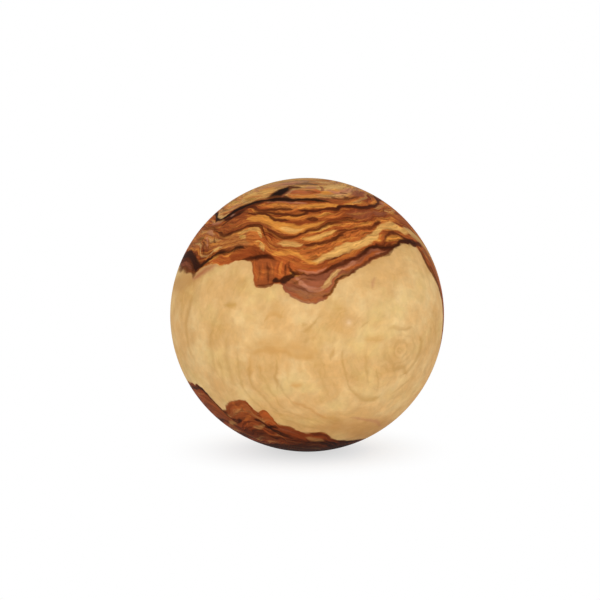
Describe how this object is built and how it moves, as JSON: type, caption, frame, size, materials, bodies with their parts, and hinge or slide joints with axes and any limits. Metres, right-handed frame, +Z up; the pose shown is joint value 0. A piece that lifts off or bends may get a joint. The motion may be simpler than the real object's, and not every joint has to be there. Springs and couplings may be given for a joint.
{
  "type": "wooden ball",
  "caption": "Smooth solid ball turned from olive wood, pale sapwood with dark streaked heartwood; a loose decorative or hand-held ball.",
  "frame": {"origin": "centre of the ball", "axes": "+Z up as the ball stands in the picture, -Y towards the camera, +X to the picture's right"},
  "size_m": [0.07, 0.07, 0.07],
  "materials": {
    "olive_wood": "sanded and oiled, satin"
  },
  "bodies": {
    "root": {"ball": "olive_wood"}
  },
  "joints": []
}
